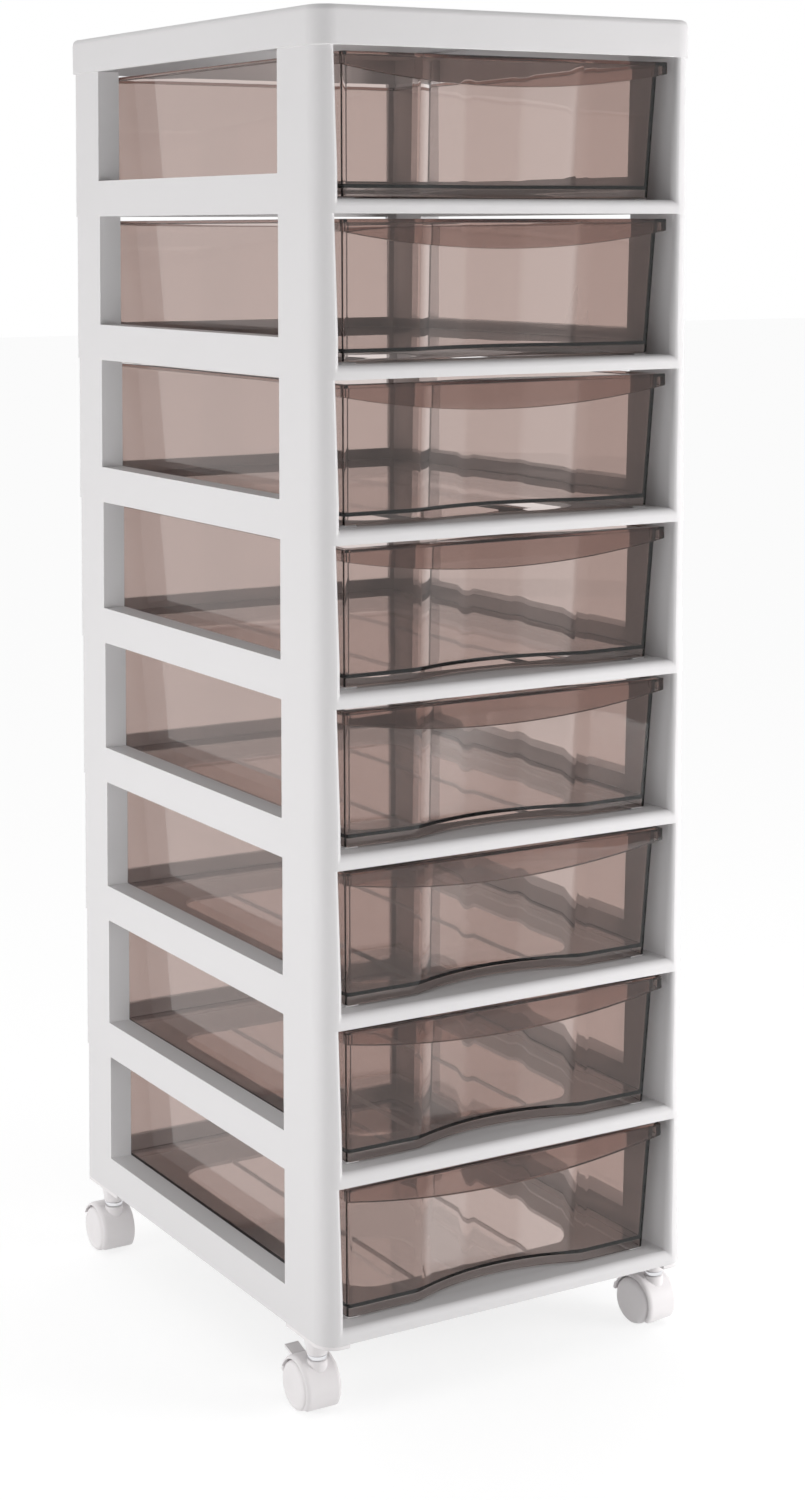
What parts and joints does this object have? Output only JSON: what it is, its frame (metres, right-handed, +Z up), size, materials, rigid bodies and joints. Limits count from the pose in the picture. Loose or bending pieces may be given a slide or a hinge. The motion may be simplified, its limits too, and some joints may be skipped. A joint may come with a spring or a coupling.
{
  "type": "drawer tower",
  "caption": "Tall narrow tower of stacked open frames, each with a smoke-clear pull-out drawer, under a flat cover and on swivel casters.",
  "frame": {"origin": "on the floor under the middle of the tower", "axes": "+Z up, -Y to the front where the drawers pull out, +X to the right as seen from the front"},
  "size_m": [0.2738, 0.342, 0.833],
  "materials": {
    "white_plastic": "satin",
    "smoke_clear_plastic": "clear, smoke brown",
    "caster_plastic": "satin",
    "plated_steel": "bright"
  },
  "bodies": {
    "tower": {"top_cover": "white_plastic", "frame_1": "white_plastic", "frame_2": "white_plastic", "frame_3": "white_plastic", "frame_4": "white_plastic", "frame_5": "white_plastic", "frame_6": "white_plastic", "frame_7": "white_plastic", "frame_8": "white_plastic", "caster_socket_front_left": "caster_plastic", "caster_socket_front_right": "caster_plastic", "caster_socket_back_left": "caster_plastic", "caster_socket_back_right": "caster_plastic", "caster_stem_front_left": "plated_steel", "caster_stem_front_right": "plated_steel", "caster_stem_back_left": "plated_steel", "caster_stem_back_right": "plated_steel"},
    "drawer_1_body": {"drawer_1": "smoke_clear_plastic"},
    "drawer_2_body": {"drawer_2": "smoke_clear_plastic"},
    "drawer_3_body": {"drawer_3": "smoke_clear_plastic"},
    "drawer_4_body": {"drawer_4": "smoke_clear_plastic"},
    "drawer_5_body": {"drawer_5": "smoke_clear_plastic"},
    "drawer_6_body": {"drawer_6": "smoke_clear_plastic"},
    "drawer_7_body": {"drawer_7": "smoke_clear_plastic"},
    "drawer_8_body": {"drawer_8": "smoke_clear_plastic"},
    "caster_swivel_front_left": {"caster_hood_front_left": "caster_plastic", "caster_axle_front_left": "plated_steel"},
    "wheel_front_left_outer": {"caster_wheel_front_left_outer": "caster_plastic"},
    "wheel_front_left_inner": {"caster_wheel_front_left_inner": "caster_plastic"},
    "brake_front_left": {"brake_lever_front_left": "caster_plastic"},
    "caster_swivel_front_right": {"caster_hood_front_right": "caster_plastic", "caster_axle_front_right": "plated_steel"},
    "wheel_front_right_outer": {"caster_wheel_front_right_outer": "caster_plastic"},
    "wheel_front_right_inner": {"caster_wheel_front_right_inner": "caster_plastic"},
    "brake_front_right": {"brake_lever_front_right": "caster_plastic"},
    "caster_swivel_back_left": {"caster_hood_back_left": "caster_plastic", "caster_axle_back_left": "plated_steel"},
    "wheel_back_left_outer": {"caster_wheel_back_left_outer": "caster_plastic"},
    "wheel_back_left_inner": {"caster_wheel_back_left_inner": "caster_plastic"},
    "caster_swivel_back_right": {"caster_hood_back_right": "caster_plastic", "caster_axle_back_right": "plated_steel"},
    "wheel_back_right_outer": {"caster_wheel_back_right_outer": "caster_plastic"},
    "wheel_back_right_inner": {"caster_wheel_back_right_inner": "caster_plastic"}
  },
  "joints": [
    {"name": "drawer_1_slide", "type": "slide", "parent": "tower", "child": "drawer_1_body", "axis": [0, -1, 0], "range_m": [0, 0.25]},
    {"name": "drawer_2_slide", "type": "slide", "parent": "tower", "child": "drawer_2_body", "axis": [0, -1, 0], "range_m": [0, 0.25]},
    {"name": "drawer_3_slide", "type": "slide", "parent": "tower", "child": "drawer_3_body", "axis": [0, -1, 0], "range_m": [0, 0.25]},
    {"name": "drawer_4_slide", "type": "slide", "parent": "tower", "child": "drawer_4_body", "axis": [0, -1, 0], "range_m": [0, 0.25]},
    {"name": "drawer_5_slide", "type": "slide", "parent": "tower", "child": "drawer_5_body", "axis": [0, -1, 0], "range_m": [0, 0.25]},
    {"name": "drawer_6_slide", "type": "slide", "parent": "tower", "child": "drawer_6_body", "axis": [0, -1, 0], "range_m": [0, 0.25]},
    {"name": "drawer_7_slide", "type": "slide", "parent": "tower", "child": "drawer_7_body", "axis": [0, -1, 0], "range_m": [0, 0.25]},
    {"name": "drawer_8_slide", "type": "slide", "parent": "tower", "child": "drawer_8_body", "axis": [0, -1, 0], "range_m": [0, 0.25]},
    {"name": "swivel_front_left", "type": "hinge", "parent": "tower", "child": "caster_swivel_front_left", "pos_m": [-0.124, -0.146, 0.03], "axis": [0, 0, 1], "continuous": true},
    {"name": "spin_front_left_outer", "type": "hinge", "parent": "caster_swivel_front_left", "child": "wheel_front_left_outer", "pos_m": [-0.124, -0.138, 0.015], "axis": [1, 0, 0], "continuous": true},
    {"name": "spin_front_left_inner", "type": "hinge", "parent": "caster_swivel_front_left", "child": "wheel_front_left_inner", "pos_m": [-0.124, -0.138, 0.015], "axis": [1, 0, 0], "continuous": true},
    {"name": "brake_front_left", "type": "hinge", "parent": "caster_swivel_front_left", "child": "brake_front_left", "pos_m": [-0.124, -0.12908, 0.02303], "axis": [1, 0, 0], "range_deg": [-15, 0]},
    {"name": "swivel_front_right", "type": "hinge", "parent": "tower", "child": "caster_swivel_front_right", "pos_m": [0.124, -0.146, 0.03], "axis": [0, 0, 1], "continuous": true},
    {"name": "spin_front_right_outer", "type": "hinge", "parent": "caster_swivel_front_right", "child": "wheel_front_right_outer", "pos_m": [0.12289, -0.13808, 0.015], "axis": [0.9903, 0.1392, 0], "continuous": true},
    {"name": "spin_front_right_inner", "type": "hinge", "parent": "caster_swivel_front_right", "child": "wheel_front_right_inner", "pos_m": [0.12289, -0.13808, 0.015], "axis": [0.9903, 0.1392, 0], "continuous": true},
    {"name": "brake_front_right", "type": "hinge", "parent": "caster_swivel_front_right", "child": "brake_front_right", "pos_m": [0.12165, -0.12925, 0.02303], "axis": [0.9903, 0.1392, 0], "range_deg": [-15, 0]},
    {"name": "swivel_back_left", "type": "hinge", "parent": "tower", "child": "caster_swivel_back_left", "pos_m": [-0.124, 0.146, 0.03], "axis": [0, 0, 1], "continuous": true},
    {"name": "spin_back_left_outer", "type": "hinge", "parent": "caster_swivel_back_left", "child": "wheel_back_left_outer", "pos_m": [-0.124, 0.154, 0.015], "axis": [1, 0, 0], "continuous": true},
    {"name": "spin_back_left_inner", "type": "hinge", "parent": "caster_swivel_back_left", "child": "wheel_back_left_inner", "pos_m": [-0.124, 0.154, 0.015], "axis": [1, 0, 0], "continuous": true},
    {"name": "swivel_back_right", "type": "hinge", "parent": "tower", "child": "caster_swivel_back_right", "pos_m": [0.124, 0.146, 0.03], "axis": [0, 0, 1], "continuous": true},
    {"name": "spin_back_right_outer", "type": "hinge", "parent": "caster_swivel_back_right", "child": "wheel_back_right_outer", "pos_m": [0.124, 0.154, 0.015], "axis": [1, 0, 0], "continuous": true},
    {"name": "spin_back_right_inner", "type": "hinge", "parent": "caster_swivel_back_right", "child": "wheel_back_right_inner", "pos_m": [0.124, 0.154, 0.015], "axis": [1, 0, 0], "continuous": true}
  ]
}
